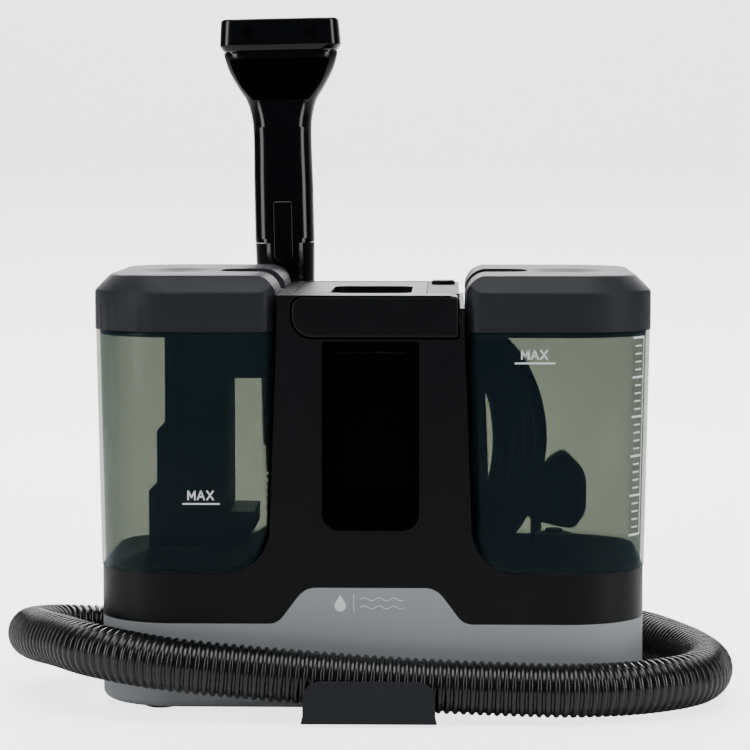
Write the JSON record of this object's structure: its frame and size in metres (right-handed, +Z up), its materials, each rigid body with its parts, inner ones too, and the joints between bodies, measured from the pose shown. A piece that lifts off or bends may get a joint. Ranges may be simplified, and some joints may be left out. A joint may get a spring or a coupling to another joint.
{
  "type": "spot extractor",
  "caption": "Portable spot extractor: body with carry handle between two lift-off lidded tanks, wrapped suction hose, parked hand tool with trigger, power cord and plug.",
  "frame": {"origin": "middle of the body's footprint, on the floor the feet stand on", "axes": "+X to the right when facing the front, +Y from the front to the back, +Z up"},
  "size_m": [0.4778, 0.3021, 0.4468],
  "materials": {
    "black": "fine satin grain",
    "board": "solder mask",
    "brass": "satin",
    "bristle": "nylon bristle",
    "charcoal": "satin moulded",
    "ducting": "moulded",
    "gloss": "polished piano black",
    "grey": "satin moulded, slight metallic tone",
    "hose": "ribbed semi-gloss",
    "rubber": "matt",
    "smoked": "clear smoked plastic",
    "steel": "brushed"
  },
  "bodies": {
    "machine": {"base_tray": "grey", "front_housing": "black", "rear_housing": "black", "hand_recess_liner": "gloss", "handle_bar": "black", "top_cover": "charcoal", "switch_panel": "charcoal", "power_switch": "black", "fan_housing": "ducting", "motor_casing": "steel", "motor_mount": "rubber", "inlet_duct": "ducting", "pump_body": "charcoal", "control_board": "board", "hose": "hose", "hose_port": "charcoal", "tool_holder": "black", "power_cord": "rubber", "cord_grommet": "rubber", "cord_hook_lower": "black", "plug_body": "rubber", "plug_pin_earth": "brass", "plug_pin_left": "brass", "plug_pin_right": "brass", "foot_centre": "rubber", "foot_front_left": "rubber", "foot_front_right": "rubber", "foot_rear_left": "rubber", "foot_rear_right": "rubber"},
    "dirty_tank_body": {"dirty_tank": "smoked", "separator_tower": "charcoal"},
    "dirty_lid_body": {"dirty_tank_lid": "charcoal", "dirty_lid_seal": "rubber"},
    "float_body": {"water_float": "grey"},
    "clean_tank_body": {"clean_tank": "smoked", "outlet_valve": "charcoal"},
    "clean_lid_body": {"clean_tank_lid": "charcoal", "clean_lid_seal": "rubber"},
    "valve_plunger_body": {"valve_plunger": "charcoal"},
    "power_button_body": {"power_button": "black"},
    "hose_rest_body": {"hose_rest": "charcoal"},
    "hand_tool_body": {"tool_neck": "gloss", "tool_front_cover": "gloss", "tool_window": "gloss", "tool_head_band": "gloss", "tool_brush": "bristle", "trigger_pin": "steel", "tool_lower_grip": "black", "spray_tip": "brass", "solution_tube": "rubber"},
    "trigger_body": {"trigger": "charcoal"},
    "release_key_body": {"release_key": "black"},
    "rotor_body": {"motor_rotor": "steel"},
    "pump_plunger_body": {"pump_plunger": "steel"},
    "cord_hook_body": {"cord_hook_upper": "black"}
  },
  "joints": [
    {"name": "dirty_tank_lift", "type": "slide", "parent": "machine", "child": "dirty_tank_body", "axis": [0, 0, 1], "range_m": [0, 0.2]},
    {"name": "dirty_lid_lift", "type": "slide", "parent": "dirty_tank_body", "child": "dirty_lid_body", "axis": [0, 0, 1], "range_m": [0, 0.06]},
    {"name": "float_rise", "type": "slide", "parent": "dirty_tank_body", "child": "float_body", "axis": [0, 0, 1], "range_m": [0, 0.075]},
    {"name": "clean_tank_lift", "type": "slide", "parent": "machine", "child": "clean_tank_body", "axis": [0, 0, 1], "range_m": [0, 0.2]},
    {"name": "clean_lid_lift", "type": "slide", "parent": "clean_tank_body", "child": "clean_lid_body", "axis": [0, 0, 1], "range_m": [0, 0.06]},
    {"name": "valve_plunger_rise", "type": "slide", "parent": "clean_tank_body", "child": "valve_plunger_body", "axis": [0, 0, 1], "range_m": [0, 0.004]},
    {"name": "power_button_press", "type": "slide", "parent": "machine", "child": "power_button_body", "axis": [0, 0, -1], "range_m": [0, 0.0025]},
    {"name": "hose_rest_pull", "type": "slide", "parent": "machine", "child": "hose_rest_body", "axis": [0, -1, 0], "range_m": [0, 0.03]},
    {"name": "hand_tool_lift", "type": "slide", "parent": "machine", "child": "hand_tool_body", "axis": [-0.0209, 0, 0.9998], "range_m": [0, 0.06]},
    {"name": "trigger_squeeze", "type": "hinge", "parent": "hand_tool_body", "child": "trigger_body", "pos_m": [-0.0671, 0.15, 0.35299], "axis": [0.9998, 0, 0.0209], "range_deg": [-5, 0]},
    {"name": "release_key_press", "type": "slide", "parent": "hand_tool_body", "child": "release_key_body", "axis": [0, 1, 0], "range_m": [0, 0.002]},
    {"name": "motor_spin", "type": "hinge", "parent": "machine", "child": "rotor_body", "pos_m": [0, 0.046, 0.12], "axis": [0, 0, 1], "continuous": true},
    {"name": "pump_stroke", "type": "slide", "parent": "machine", "child": "pump_plunger_body", "axis": [1, 0, 0], "range_m": [0, 0.004]},
    {"name": "cord_hook_swivel", "type": "hinge", "parent": "machine", "child": "cord_hook_body", "pos_m": [0.055, 0.12, 0.191], "axis": [0, 1, 0], "range_deg": [0, 180]}
  ]
}
